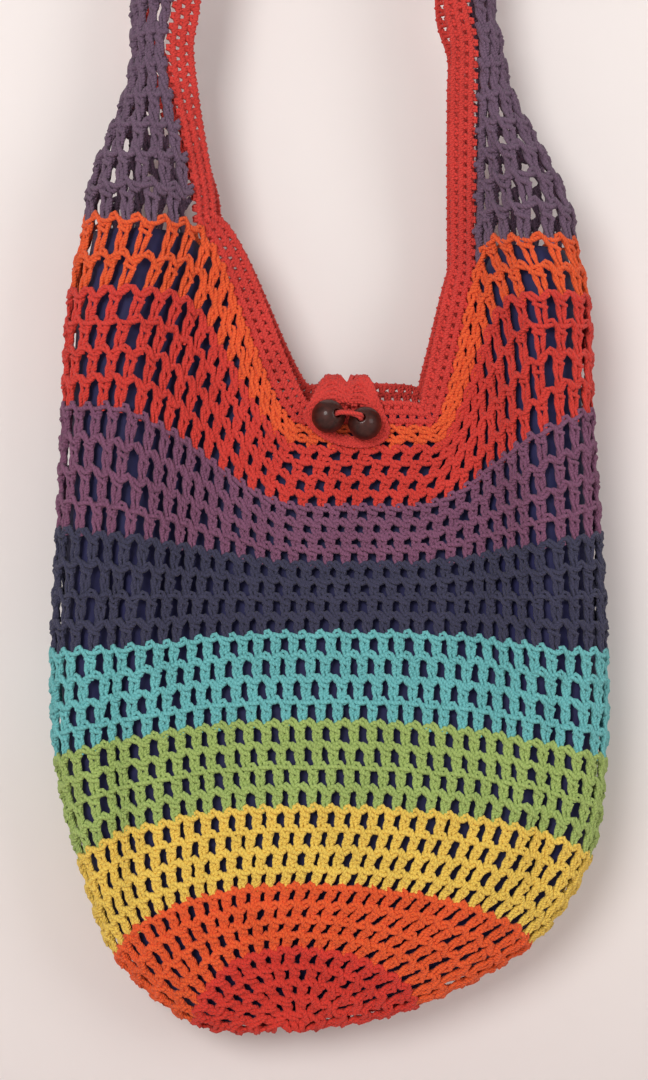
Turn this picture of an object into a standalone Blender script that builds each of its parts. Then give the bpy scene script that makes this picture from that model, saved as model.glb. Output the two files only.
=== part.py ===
"""Hanging crochet shoulder bag: nine colour bands worked in the round, two shoulders that run up
into one folded strap, a lining, neck edgings, a button loop and two sewn-on wooden beads.

Metres, +Z up, front towards -Y. The origin is the underside of the strap where it hangs."""

import functools
import math

import bmesh
import bpy
import numpy as np
from mathutils import Matrix, Vector

# Overall heights, measured up from the bottom of the bag
HANG_HEIGHT = 0.975
BAG_WIDTH = 0.388
BAG_HEIGHT = 0.574
STRAP_ARCH_RADIUS = 0.112

# Crochet and cloth
FABRIC = 0.0042
RIDGE = 0.0012
LINING = 0.0010
SEAM = 0.0005
ROUND_HEIGHT = 0.015
LINING_EASE = 0.0030
LINING_ROUNDS = (0.0, 1.5, 3.0, 5.0, 7.0, 9.0, 13.0, 17.0, 21.0, 25.0, 29.0, 31.5)
LINING_DROP = 0.6

# Bands from the base up: name, rounds, half width and middle as shares of half the bag's width,
# heights at the left, right and front as shares of the bag's height, colour
BANDS = (
    ("base_red", 5, 0.397, -0.062, 0.009, 0.030, 0.108, (0.60, 0.035, 0.020)),
    ("band_orange", 4, 0.742, 0.005, 0.087, 0.105, 0.188, (0.83, 0.110, 0.020)),
    ("band_yellow", 4, 0.918, 0.046, 0.204, 0.209, 0.282, (0.82, 0.520, 0.050)),
    ("band_green", 4, 0.990, 0.031, 0.331, 0.331, 0.383, (0.30, 0.450, 0.095)),
    ("band_turquoise", 4, 1.000, 0.026, 0.467, 0.465, 0.490, (0.11, 0.500, 0.480)),
    ("band_navy", 4, 0.979, 0.026, 0.618, 0.618, 0.575, (0.052, 0.065, 0.130)),
    ("band_purple", 4, 0.954, 0.021, 0.770, 0.763, 0.646, (0.220, 0.080, 0.200)),
    ("band_red", 4, 0.933, 0.026, 0.911, 0.904, 0.720, (0.75, 0.050, 0.028)),
    ("band_orange_top", 2, 0.881, 0.031, 1.000, 0.972, 0.744, (0.83, 0.110, 0.020)),
)
BASE_MIDDLE = -0.019
BASE_EYE = 0.004

# Depth of the bag, and the two folds that run down its front
FRONT_DEPTH = 0.056
BACK_DEPTH = 0.022
CLOSED_DEPTH = 0.0078
CLOSED_BACK = 0.007
BACK_RISE = 0.014
DEPTH_ROUNDS = 15
FOLD_FROM_ROUND = 5
FOLD_TO_ROUND = 31
LEFT_FOLD = (0.42, 0.80)
RIGHT_FOLD = (0.58, 0.84)
FRONT_FLATNESS = 0.5
BACK_FLATNESS = 0.35

# Dip of the rounds towards the neckline, as shares of the half width
DIP_FROM_ROUND = 13
DIP_TO_ROUND = 25
LOW_MIDDLE = -0.10
DIP_MIDDLE = 0.10
DIP_FLAT = 0.16
DIP_REACH = 1.10
LEFT_NECK_FLAT = 0.22
LEFT_NECK_REACH = 0.69
RIGHT_NECK_FLAT = 0.33
RIGHT_NECK_REACH = 0.58

# Columns of the CAD mesh between the neck corners, with a narrow one at each gap
LEFT_NECK_ANGLE = 35.0
RIGHT_NECK_ANGLE = 38.0
NECK_COLUMNS = 10
SIDE_COLUMNS = 9
BACK_COLUMNS = 8
GAP_EVERY = 3
GAP_SHARE = 0.35

# Strap: core width, edging width, and the stations of its middle line up to the arch
CORE_WIDTH = 0.046
EDGING = 0.019
EVEN_PASSES = 3
SHOULDER_ROWS = 6
ARCH_ROWS = 5
# Each station: height as a share of the way from the bag to the arch, middle across as a share of
# the arch's radius and in depth as a share of the core, turn in degrees, share of a full fold
LEFT_STATIONS = (
    (0.436, -1.161, -0.130, 25, 0.80),
    (0.522, -1.143, -0.174, 38, 0.72),
    (0.644, -1.107, -0.130, 30, 0.75),
    (0.817, -1.036, 0.000, 15, 0.80),
)
RIGHT_STATIONS = (
    (0.436, 1.116, 0.000, 0, 0.95),
    (0.522, 1.062, 0.000, -5, 0.97),
    (0.644, 1.036, 0.000, 0, 0.95),
    (0.817, 1.009, 0.000, 0, 0.88),
)
ARCH_FOLD = 0.85

# Closure: two beads below the front rim, the yarn between them, and the loop from the back rim
BEAD_DIAMETER = 0.0238
BEAD_BORE = 0.0060
BEAD_STEPS = 16
BEAD_ARC = 7
LEFT_BEAD = (0.0045, 0.008)
RIGHT_BEAD = (0.0303, 0.013)
LEFT_BORE_AIM = (0.588, -0.795, 0.147)
RIGHT_BORE_AIM = (-0.253, -0.914, 0.318)
BEAD_YARN = 0.0044
BEAD_CLEARANCE = 0.0003
LOOP_THICK = 0.0030
LOOP_HOLE = (0.0230, 0.0108)
LOOP_OUTSIDE = (0.0295, 0.0170)
LOOP_ROOT = 0.0185
LOOP_TILT = 11.0
LOOP_STEPS = 28
LOOP_STRIPS = 4
LOOP_RISE = 1.3
LOOP_EASE = 0.0016

PURPLE = (0.135, 0.062, 0.160)
EDGE_RED = (0.66, 0.035, 0.030)
LINING_BLUE = (0.020, 0.020, 0.150)
WOOD = (0.050, 0.018, 0.014)


def clear_scene():
    for item in list(bpy.data.objects):
        bpy.data.objects.remove(item, do_unlink=True)


def material(name, colour, roughness):
    made = bpy.data.materials.new(name)
    made.use_nodes = True
    shader = made.node_tree.nodes["Principled BSDF"]
    shader.inputs["Base Color"].default_value = (*colour, 1.0)
    shader.inputs["Roughness"].default_value = roughness
    shader.inputs["Metallic"].default_value = 0.0
    return made


def ease(x):
    """Smooth step from 0 to 1."""
    x = np.clip(x, 0.0, 1.0)
    return x * x * (3.0 - 2.0 * x)


def through(x, knots, values):
    """A smooth curve through (knots, values), with the slopes of the neighbouring spans."""
    knots = np.asarray(knots, float)
    values = np.asarray(values, float)
    spans = np.diff(values) / np.diff(knots)
    slopes = np.concatenate([spans[:1], (spans[1:] + spans[:-1]) / 2.0, spans[-1:]])
    k = np.clip(np.searchsorted(knots, x) - 1, 0, len(knots) - 2)
    step = knots[k + 1] - knots[k]
    s = (x - knots[k]) / step
    a = (2 * s**3 - 3 * s**2 + 1) * values[k] + (3 * s**2 - 2 * s**3) * values[k + 1]
    b = (s**3 - 2 * s**2 + s) * slopes[k] + (s**3 - s**2) * slopes[k + 1]
    return a + b * step


ROUNDS = np.concatenate([[0], np.cumsum([band[1] for band in BANDS])]).astype(float)
TOP_ROUND = ROUNDS[-1]


def level(v, column, start, scale):
    """A column of the band table as a smooth curve over the rounds, in metres."""
    return through(v, ROUNDS, [start] + [band[column] * scale for band in BANDS])


def bow(t, v, drawn):
    """Share of the way from the side height to the middle height, across a round."""
    share = ease((v - DIP_FROM_ROUND) / (DIP_TO_ROUND - DIP_FROM_ROUND))
    middle = LOW_MIDDLE + (DIP_MIDDLE - LOW_MIDDLE) * share
    off = np.abs(t - middle)
    low = np.sqrt(np.clip(1.0 - (off / (1.0 + np.where(t > middle, -middle, middle))) ** 2, 0.0, 1.0))
    flat = DIP_FLAT + (np.where(t > middle, RIGHT_NECK_FLAT, LEFT_NECK_FLAT) - DIP_FLAT) * drawn
    reach = DIP_REACH + (np.where(t > middle, RIGHT_NECK_REACH, LEFT_NECK_REACH) - DIP_REACH) * drawn
    dip = 1.0 - ease((off - flat) / (reach - flat))
    return low * (1.0 - share) + dip * share


def wall(phi, v):
    """Inside face of the crochet at angle phi (0 = front, + = right), v rounds up from the base."""
    phi, v = np.broadcast_arrays(np.asarray(phi, float), np.asarray(v, float))
    t = np.sin(phi)
    front = np.cos(phi) > 0
    near = np.abs(np.cos(phi))
    half = level(v, 2, BASE_EYE, BAG_WIDTH / 2.0)
    x = level(v, 3, BASE_MIDDLE, BAG_WIDTH / 2.0) + half * t

    grown = np.sin(np.clip(v / DEPTH_ROUNDS, 0.0, 1.0) * math.pi / 2.0)
    grown = np.maximum(grown, BASE_EYE / FRONT_DEPTH)
    closed = ease((v - FOLD_FROM_ROUND) / (FOLD_TO_ROUND - FOLD_FROM_ROUND))
    middle_share = 1.0 - (1.0 - CLOSED_DEPTH / FRONT_DEPTH) * closed
    left = ease((-t - LEFT_FOLD[0]) / (LEFT_FOLD[1] - LEFT_FOLD[0]))
    right = ease((t - RIGHT_FOLD[0]) / (RIGHT_FOLD[1] - RIGHT_FOLD[0]))
    lobe = middle_share + (1.0 - middle_share) * (left + right)
    y_front = -FRONT_DEPTH * grown * lobe * near**FRONT_FLATNESS

    drawn = ease((v - DIP_TO_ROUND) / (TOP_ROUND - DIP_TO_ROUND))
    pull = (1.0 - CLOSED_BACK / BACK_DEPTH) * drawn * (1.0 - ease(np.abs(t - DIP_MIDDLE / 2) / 0.45))
    y_back = BACK_DEPTH * grown * (1.0 - pull) * near**BACK_FLATNESS

    side = level(v, 4, 0.0, BAG_HEIGHT) * (1.0 - t) / 2.0 + level(v, 5, 0.0, BAG_HEIGHT) * (1.0 + t) / 2.0
    middle = level(v, 6, 0.0, BAG_HEIGHT) + np.where(front, 0.0, BACK_RISE * drawn)
    z = side + (middle - side) * bow(t, v, drawn)
    return np.stack([x, np.where(front, y_front, y_back), z - HANG_HEIGHT], axis=-1)


def wall_normal(phi, v):
    """Outward normal of the wall."""
    step = 1e-3
    low = np.clip(np.asarray(v, float) - step, 0.0, TOP_ROUND - 2.0 * step)
    along = wall(phi + step, v) - wall(phi - step, v)
    up = wall(phi, low + 2.0 * step) - wall(phi, low)
    normal = np.cross(along, up)
    return normal / np.linalg.norm(normal, axis=-1, keepdims=True)


def wall_at(phi, v, off):
    return wall(phi, v) + wall_normal(phi, v) * np.asarray(off)[..., None]


def spread(start, end, columns):
    """Angles from start to end, with every third column narrow."""
    shares = [GAP_SHARE if i % GAP_EVERY == 1 else 1.0 for i in range(columns)]
    ends = np.concatenate([[0.0], np.cumsum(shares)]) / sum(shares)
    narrow = [share == GAP_SHARE for share in shares]
    return start + (end - start) * ends[:-1], narrow


def angles():
    """The angles of all columns round the bag, and which of them are gap columns."""
    left = math.radians(LEFT_NECK_ANGLE)
    right = math.radians(RIGHT_NECK_ANGLE)
    turn = math.pi
    parts = (
        spread(-left, right, NECK_COLUMNS),
        spread(right, turn - right, SIDE_COLUMNS),
        spread(turn - right, turn + left, BACK_COLUMNS),
        spread(turn + left, 2 * turn - left, SIDE_COLUMNS),
    )
    return np.concatenate([p[0] for p in parts]), [narrow for p in parts for narrow in p[1]]


PHI, NARROW = angles()
DIAGONAL_KEY = Vector((0.61, 0.37, 1.0))


def finish(bm, name, look, smooth_angle=35.0):
    """Turns the bmesh into an object whose faces all look out."""
    bmesh.ops.recalc_face_normals(bm, faces=bm.faces)
    if bm.calc_volume(signed=True) < 0.0:
        bmesh.ops.reverse_faces(bm, faces=bm.faces)
    mesh = bpy.data.meshes.new(name)
    bm.to_mesh(mesh)
    bm.free()
    mesh.polygons.foreach_set("use_smooth", [True] * len(mesh.polygons))
    mesh.set_sharp_from_angle(angle=math.radians(smooth_angle))
    mesh.materials.append(look)
    made = bpy.data.objects.new(name, mesh)
    bpy.context.scene.collection.objects.link(made)
    return made


def shell(name, outside, inside, look, gaps=(), closed=True, capped=False):
    """A wall between two grids of points, rows by columns, with the cells in gaps left open."""
    bm = bmesh.new()
    out = [[bm.verts.new(p) for p in row] for row in outside]
    inn = [[bm.verts.new(p) for p in row] for row in inside]
    rows = len(out) - 1
    columns = len(out[0]) - (0 if closed else 1)

    def at(grid, row, column):
        return grid[row][column % len(grid[row])]

    def solid(row, column):
        if closed:
            column %= columns
        return 0 <= row < rows and 0 <= column < columns and (row, column) not in gaps

    def quad(a, b, c, d):
        bm.faces.new((a, b, c))
        bm.faces.new((a, c, d))

    def side(row_a, column_a, row_b, column_b):
        # Two walls that face each other across a seam split along the same diagonal
        a = (at(out, row_a, column_a), at(inn, row_a, column_a))
        b = (at(out, row_b, column_b), at(inn, row_b, column_b))
        if a[1].co.dot(DIAGONAL_KEY) > b[1].co.dot(DIAGONAL_KEY):
            a, b = b, a
        quad(a[0], b[0], b[1], a[1])

    for row in range(rows):
        for column in range(columns):
            if not solid(row, column):
                continue
            for grid in (out, inn):
                quad(
                    at(grid, row, column),
                    at(grid, row, column + 1),
                    at(grid, row + 1, column + 1),
                    at(grid, row + 1, column),
                )
            if not solid(row - 1, column) and not (capped and row == 0):
                side(row, column, row, column + 1)
            if not solid(row + 1, column):
                side(row + 1, column, row + 1, column + 1)
            if not solid(row, column - 1):
                side(row, column, row + 1, column)
            if not solid(row, column + 1):
                side(row, column + 1, row + 1, column + 1)
    if capped:
        for grid in (out, inn):
            middle = bm.verts.new(sum((v.co for v in grid[0]), Vector()) / len(grid[0]))
            for column in range(columns):
                bm.faces.new((middle, at(grid, 0, column), at(grid, 0, column + 1)))
    return finish(bm, name, look)


def make_band(index):
    """One colour band: a ridge for every other round, and one row of gaps."""
    name, rounds, *_, colour = BANDS[index]
    low = ROUNDS[index]
    high = ROUNDS[index + 1]
    seam = SEAM / ROUND_HEIGHT
    lines = np.arange(low, high + 0.5)
    lines[0] = low + (seam if index else 0.0)
    offs = np.array([FABRIC - (RIDGE if k % 2 == 0 else 0.0) for k in range(len(lines))])
    outside = [wall_at(PHI, np.full_like(PHI, v), np.full_like(PHI, off)) for v, off in zip(lines, offs)]
    inside = [wall(PHI, np.full_like(PHI, v)) for v in lines]
    gap_row = 1 if rounds > 2 else 0
    if index == 0:
        gap_row = 3
    gaps = {(gap_row, k) for k, narrow in enumerate(NARROW) if narrow}
    return shell(name, outside, inside, material(name, colour, 0.9), gaps, capped=index == 0)


def make_lining():
    """The cloth sack inside the bands, up to the last round below the neck edging."""
    lines = (*LINING_ROUNDS, TOP_ROUND - LINING_DROP)
    out_off = -LINING_EASE
    outside = [wall_at(PHI, np.full_like(PHI, v), np.full_like(PHI, out_off)) for v in lines]
    inside = [wall_at(PHI, np.full_like(PHI, v), np.full_like(PHI, out_off - LINING)) for v in lines]
    return shell("lining", outside, inside, material("lining", LINING_BLUE, 0.8), capped=True)


def section(centre, outward, across, fold, q, off):
    """A point of the folded strap: q across from the front (-) to the back (+), off outward."""
    bend = max(fold, 0.02) * math.pi / CORE_WIDTH
    edge = CORE_WIDTH / 2.0
    held = max(-edge, min(edge, q))
    angle = bend * held
    along = across * math.cos(angle) - outward * math.sin(angle)
    normal = outward * math.cos(angle) + across * math.sin(angle)
    point = centre + across * (math.sin(angle) / bend) - outward * ((1.0 - math.cos(angle)) / bend)
    return point + along * (q - held) + normal * off, normal


def strap_stations(side):
    """Centre, outward and across directions and fold of each strap row, from shoulder to arch top."""
    stations = LEFT_STATIONS if side < 0 else RIGHT_STATIONS
    found = []
    arch = HANG_HEIGHT - STRAP_ARCH_RADIUS
    for share, x, y, turn, fold in stations:
        height = BAG_HEIGHT + (arch - BAG_HEIGHT) * share
        angle = math.radians(turn)
        outward = Vector((side * math.cos(angle), -math.sin(angle), 0.0))
        across = Vector((side * math.sin(angle), math.cos(angle), 0.0))
        centre = Vector((x * STRAP_ARCH_RADIUS, y * CORE_WIDTH, height - HANG_HEIGHT))
        found.append((centre, outward, across, fold))
    spring = -STRAP_ARCH_RADIUS
    for k in range(ARCH_ROWS + 1):
        angle = math.pi / 2.0 * k / ARCH_ROWS
        outward = Vector((side * math.cos(angle), 0.0, math.sin(angle)))
        centre = outward * STRAP_ARCH_RADIUS + Vector((0.0, 0.0, spring))
        found.append((centre, outward, Vector((0.0, 1.0, 0.0)), ARCH_FOLD))
    return found


def strap_rows(side, qs, off):
    """Rows of points of the strap at the places qs across it."""
    stations = strap_stations(side)
    return [[section(*station, q, off)[0] for q in qs] for station in stations]


def side_columns(side):
    """Angles from the front neck corner round the side to the back neck corner."""
    first = NECK_COLUMNS if side > 0 else NECK_COLUMNS + SIDE_COLUMNS + BACK_COLUMNS
    picked = [PHI[(first + k) % len(PHI)] for k in range(SIDE_COLUMNS + 1)]
    picked = np.array(picked)
    return picked if side > 0 else picked[::-1]


def core_rows(side, off):
    """Points of a shoulder and its half of the strap core, rows from the top band to the arch top."""
    phis = side_columns(side)
    base = wall_at(phis, np.full_like(phis, TOP_ROUND), np.full_like(phis, off))
    start = wall_at(phis, np.full_like(phis, TOP_ROUND - 0.3), np.full_like(phis, off))
    rise = (base - start) / np.linalg.norm(base - start, axis=-1, keepdims=True)
    lengths = np.concatenate([[0.0], np.cumsum(np.linalg.norm(np.diff(base, axis=0), axis=1))])
    qs = (lengths / lengths[-1] - 0.5) * CORE_WIDTH
    strap = strap_rows(side, qs, off)
    top = np.array([list(p) for p in strap[0]])
    rows = [base + rise * SEAM]
    for k in range(1, SHOULDER_ROWS):
        w = k / SHOULDER_ROWS
        mixed = base + (top - base) * ease(w)
        mixed[:, 2] = base[:, 2] + (top[:, 2] - base[:, 2]) * w
        rows.append(mixed)
    rows.extend(np.array([list(p) for p in row]) for row in strap)
    rows[-1] = rows[-1] + np.array([side * SEAM / 2.0, 0.0, 0.0])
    return rows


def make_shoulder(side, name):
    """A shoulder with its half of the strap core."""
    outside = core_rows(side, FABRIC)
    inside = core_rows(side, 0.0)
    gaps = {(row, column) for row in (1, 3) for column in (1, 4, 7)}
    look = material(name, PURPLE, 0.9)
    return shell(name, outside, inside, look, gaps, closed=False)


def neck_columns(front):
    first = 0 if front else NECK_COLUMNS + SIDE_COLUMNS
    count = NECK_COLUMNS if front else BACK_COLUMNS
    picked = [PHI[(first + k) % len(PHI)] for k in range(count + 1)]
    return np.array(picked if front else picked[::-1])


def edge_curve(front, off):
    """The closed edge that an edging is worked on: the neck, the right strap and the left strap."""
    phis = neck_columns(front)
    if front:
        phis = np.where(phis > math.pi, phis - 2 * math.pi, phis)
    neck = wall_at(phis, np.full_like(phis, TOP_ROUND), np.full_like(phis, off))
    column = 0 if front else -1
    right = np.array([row[column] for row in core_rows(1, off)])
    left = np.array([row[column] for row in core_rows(-1, off)])
    top = (right[-1] + left[-1]) / 2.0
    return np.concatenate([neck, right[1:-1], [top], left[1:-1][::-1]])


@functools.lru_cache(maxsize=None)
def edging_rows(front):
    """Outside and inside rows of an edging, from its seam to its free edge."""
    inner = edge_curve(front, 0.0)
    outer = edge_curve(front, FABRIC)
    normal = outer - inner
    normal /= np.linalg.norm(normal, axis=1, keepdims=True)
    tangent = np.roll(inner, -1, axis=0) - np.roll(inner, 1, axis=0)
    reach = np.cross(normal, tangent)
    if not front:
        reach = -reach
    reach /= np.linalg.norm(reach, axis=1, keepdims=True)
    even = reach
    for _ in range(EVEN_PASSES):
        even = even + np.roll(even, 1, axis=0) + np.roll(even, -1, axis=0)
        even /= np.linalg.norm(even, axis=1, keepdims=True)
    steps = (0.0, EDGING * 0.5, EDGING)
    ridges = (0.0, 0.0008, 0.0)
    thick = FABRIC - 0.0008
    start = inner + reach * SEAM
    outside = [start + even * s + normal * (thick + r) for s, r in zip(steps, ridges)]
    inside = [start + even * s for s in steps]
    return outside, inside


def make_edging(front, name):
    outside, inside = edging_rows(front)
    return shell(name, outside, inside, material(name, EDGE_RED, 0.9))


def rim_point(front, x):
    """Free edge of an edging at x on the neckline: its height, outside face and inside face."""
    outside, inside = edging_rows(front)
    count = (NECK_COLUMNS if front else BACK_COLUMNS) + 1
    out = outside[-1][:count]
    inn = inside[-1][:count]
    order = np.argsort(out[:, 0])
    height = np.interp(x, out[order, 0], out[order, 2])
    face = np.interp(x, out[order, 0], out[order, 1])
    back = np.interp(x, inn[order, 0], inn[order, 1])
    return height, face, back


def front_face(x_low, x_high):
    """How far forward the front edging reaches between two places across the bag."""
    outside, _ = edging_rows(True)
    points = np.concatenate([row[: NECK_COLUMNS + 1] for row in outside])
    reach = (x_high - x_low) / 4.0
    near = points[(points[:, 0] > x_low - reach) & (points[:, 0] < x_high + reach)]
    return near[:, 1].min()


def bead_places():
    """Centre and bore direction of both beads, which rest on the front edging."""
    found = []
    outside, _ = edging_rows(True)
    height = outside[-1][: NECK_COLUMNS + 1, 2].min()
    for (x, drop), aim in ((LEFT_BEAD, LEFT_BORE_AIM), (RIGHT_BEAD, RIGHT_BORE_AIM)):
        face = front_face(x - BEAD_DIAMETER / 2, x + BEAD_DIAMETER / 2)
        centre = Vector((x, face - BEAD_CLEARANCE - BEAD_DIAMETER / 2, height - drop))
        found.append((centre, Vector(aim).normalized()))
    return found


def make_bead(name, centre, aim):
    """A ball with a bore, turned about its bore: the object's origin is on that axis."""
    radius = BEAD_DIAMETER / 2.0
    bore = BEAD_BORE / 2.0
    start = math.asin(bore / radius)
    bm = bmesh.new()
    profile = []
    for k in range(BEAD_ARC + 1):
        angle = start + (math.pi - 2.0 * start) * k / BEAD_ARC
        profile.append(bm.verts.new((radius * math.sin(angle), 0.0, radius * math.cos(angle))))
    edges = [bm.edges.new(pair) for pair in zip(profile, profile[1:])]
    edges.append(bm.edges.new((profile[-1], profile[0])))
    bmesh.ops.spin(
        bm,
        geom=profile + edges,
        cent=(0, 0, 0),
        axis=(0, 0, 1),
        angle=2 * math.pi,
        steps=BEAD_STEPS,
        use_merge=True,
    )
    bmesh.ops.remove_doubles(bm, verts=bm.verts, dist=1e-6)
    made = finish(bm, name, material(name, WOOD, 0.25), 50.0)
    made.matrix_world = Matrix.Translation(centre) @ aim.to_track_quat("Z", "Y").to_matrix().to_4x4()
    return made


def make_bead_yarn(places):
    """The doubled yarn: up through one bore, across between the beads, and back down the other."""
    (left, left_aim), (right, right_aim) = places
    face = front_face(left.x, right.x)
    reach = BEAD_DIAMETER / 2.0

    def foot(centre, aim):
        run = (face - BEAD_CLEARANCE - BEAD_YARN * 0.42 - centre.y) / -aim.y
        return centre - aim * run

    lead = reach + BEAD_YARN * 0.35
    a = left + left_aim * lead
    b = right + right_aim * lead
    rise = (b - a).length * 0.42
    points = [foot(left, left_aim), left - left_aim * reach * 0.5, left + left_aim * reach * 0.5]
    for k in range(7):
        s = k / 6.0
        bend = (
            a * (1 - s) ** 3
            + (a + left_aim * rise) * 3 * s * (1 - s) ** 2
            + (b + right_aim * rise) * 3 * s * s * (1 - s)
            + b * s**3
        )
        points.append(bend)
    points += [right + right_aim * reach * 0.5, right - right_aim * reach * 0.5, foot(right, right_aim)]
    curve = bpy.data.curves.new("bead_yarn", "CURVE")
    curve.dimensions = "3D"
    curve.bevel_depth = BEAD_YARN / 2.0
    curve.bevel_resolution = 1
    curve.use_fill_caps = True
    line = curve.splines.new("POLY")
    line.points.add(len(points) - 1)
    for slot, point in zip(line.points, points):
        slot.co = (*point, 1.0)
    curve.materials.append(material("bead_yarn", EDGE_RED, 0.9))
    made = bpy.data.objects.new("bead_yarn", curve)
    bpy.context.scene.collection.objects.link(made)


def drape_path(x, low, face):
    """Side view of the loop at x: up the front edging, over the front rim and on to the back rim."""
    near = [x + step for step in (-0.004, 0.0, 0.004)]
    rim = max(rim_point(True, place)[0] for place in near)
    back_rim = max(rim_point(False, place)[0] for place in near)
    back_face = min(rim_point(False, place)[2] for place in near)
    top = max(rim, back_rim) + LOOP_EASE
    path = [
        Vector((0.0, face, low)),
        Vector((0.0, face, rim + LOOP_EASE)),
        Vector((0.0, face + 0.003, max(rim + 0.004, (rim + top) / 2.0))),
        Vector((0.0, max(face + 0.006, (face + back_face) / 2.0), top + 0.003)),
        Vector((0.0, max(face + 0.009, back_face + FABRIC), top)),
    ]
    lengths = [0.0]
    for a, b in zip(path, path[1:]):
        lengths.append(lengths[-1] + (b - a).length)
    return path, lengths


def draped(x, height, share, low, face, off):
    """A point of the loop: at a height up the front, or at a share of the way to its root."""
    path, lengths = drape_path(x, low, face)
    place = height - low
    place = place + (lengths[-1] - place) * share
    k = 0
    while k < len(path) - 2 and lengths[k + 1] < place:
        k += 1
    part_way = (place - lengths[k]) / (lengths[k + 1] - lengths[k])
    point = path[k].lerp(path[k + 1], part_way)
    runs = [(b - a).normalized() for a, b in zip(path, path[1:])]
    flat = [Vector((0.0, -run.z, run.y)) for run in runs]
    ends = [flat[0]] + [(m + n).normalized() for m, n in zip(flat, flat[1:])] + [flat[-1]]
    normal = ends[k].lerp(ends[k + 1], part_way).normalized()
    return Vector((x, point.y, point.z)) + normal * off


def make_loop(places):
    """The button loop: a flat ring round the beads, joined over the front rim to the back rim."""
    middle = (places[0][0] + places[1][0]) / 2.0
    width, drop = LOOP_OUTSIDE
    face = front_face(middle.x - width, middle.x + width) - BEAD_CLEARANCE
    low = middle.z - 2.0 * BEAD_DIAMETER
    slope = math.tan(math.radians(LOOP_TILT))
    rings = []
    for k in range(LOOP_STEPS):
        angle = 2 * math.pi * k / LOOP_STEPS
        c, s = math.cos(angle), math.sin(angle)
        square = Vector((math.copysign(abs(c) ** 0.7, c), math.copysign(abs(s) ** 0.7, s)))
        hole_x = LOOP_HOLE[0] * square.x
        hole = (middle.x + hole_x, middle.z + LOOP_HOLE[1] * square.y - slope * hole_x, 0.0)
        if s <= 0.0:
            edge_x = width * c
            edge = (middle.x + edge_x, middle.z + drop * s - slope * edge_x, 0.0)
        else:
            half = width + (LOOP_ROOT - width) * min(1.0, s * 1.4)
            edge_x = half * math.copysign(abs(c) ** 0.45, c)
            edge = (middle.x + edge_x, middle.z - slope * edge_x * (1.0 - s), s**LOOP_RISE)
        rings.append((hole, edge))

    def row(strip, off):
        share = strip / LOOP_STRIPS
        mixed = [[a + (b - a) * share for a, b in zip(hole, edge)] for hole, edge in rings]
        return [draped(*place, low, face, off) for place in mixed]

    outside = [row(strip, LOOP_THICK) for strip in range(LOOP_STRIPS + 1)]
    inside = [row(strip, 0.0) for strip in range(LOOP_STRIPS + 1)]
    return shell("button_loop", outside, inside, material("button_loop", EDGE_RED, 0.9))


def main():
    clear_scene()
    for index in range(len(BANDS)):
        make_band(index)
    make_lining()
    make_shoulder(-1, "shoulder_left")
    make_shoulder(1, "shoulder_right")
    make_edging(True, "front_edging")
    make_edging(False, "back_edging")
    places = bead_places()
    make_bead("bead_left", *places[0])
    make_bead("bead_right", *places[1])
    make_bead_yarn(places)
    make_loop(places)


main()
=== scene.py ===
"""Looks of the hanging crochet shoulder bag: every stitch is a strand of plied yarn that is laid on
the same surfaces as the solids, with a cloth lining, turned wooden beads, a wall and soft light."""

import math

import bpy
import numpy as np
from mathutils import Matrix, Vector


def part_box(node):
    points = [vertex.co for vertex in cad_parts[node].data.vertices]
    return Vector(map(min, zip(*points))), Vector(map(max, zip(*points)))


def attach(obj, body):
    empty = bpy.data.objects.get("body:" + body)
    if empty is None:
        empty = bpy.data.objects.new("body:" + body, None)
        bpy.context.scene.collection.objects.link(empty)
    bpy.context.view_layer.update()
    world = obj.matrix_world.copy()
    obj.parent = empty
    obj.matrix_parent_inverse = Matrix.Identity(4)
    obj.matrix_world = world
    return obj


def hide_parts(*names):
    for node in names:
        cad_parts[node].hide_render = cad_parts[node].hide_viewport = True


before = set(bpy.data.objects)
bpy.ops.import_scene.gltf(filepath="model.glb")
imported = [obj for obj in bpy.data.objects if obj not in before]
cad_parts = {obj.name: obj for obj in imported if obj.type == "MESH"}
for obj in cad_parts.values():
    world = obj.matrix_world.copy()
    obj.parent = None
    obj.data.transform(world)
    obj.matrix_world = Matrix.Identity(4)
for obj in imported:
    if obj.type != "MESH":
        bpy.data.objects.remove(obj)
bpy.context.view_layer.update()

# Sizes shared with the solids, in metres
HANG_HEIGHT = 0.975
BAG_WIDTH = 0.388
BAG_HEIGHT = 0.574
STRAP_ARCH_RADIUS = 0.112
FABRIC = 0.0042
SEAM = 0.0005
LINING_EASE = 0.0030

# Bands from the base up: name, rounds, half width and middle as shares of half the bag's width,
# heights at the left, right and front as shares of the bag's height
BANDS = (
    ("base_red", 5, 0.397, -0.062, 0.009, 0.030, 0.108),
    ("band_orange", 4, 0.742, 0.005, 0.087, 0.105, 0.188),
    ("band_yellow", 4, 0.918, 0.046, 0.204, 0.209, 0.282),
    ("band_green", 4, 0.990, 0.031, 0.331, 0.331, 0.383),
    ("band_turquoise", 4, 1.000, 0.026, 0.467, 0.465, 0.490),
    ("band_navy", 4, 0.979, 0.026, 0.618, 0.618, 0.575),
    ("band_purple", 4, 0.954, 0.021, 0.770, 0.763, 0.646),
    ("band_red", 4, 0.933, 0.026, 0.911, 0.904, 0.720),
    ("band_orange_top", 2, 0.881, 0.031, 1.000, 0.972, 0.744),
)
BASE_MIDDLE = -0.019
BASE_EYE = 0.004
FRONT_DEPTH = 0.056
BACK_DEPTH = 0.022
CLOSED_DEPTH = 0.0078
CLOSED_BACK = 0.007
PULL_REACH = 0.45
BACK_RISE = 0.014
DEPTH_ROUNDS = 15
FOLD_FROM_ROUND = 5
FOLD_TO_ROUND = 31
LEFT_FOLD = (0.42, 0.80)
RIGHT_FOLD = (0.58, 0.84)
FRONT_FLATNESS = 0.5
BACK_FLATNESS = 0.35
DIP_FROM_ROUND = 13
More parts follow.
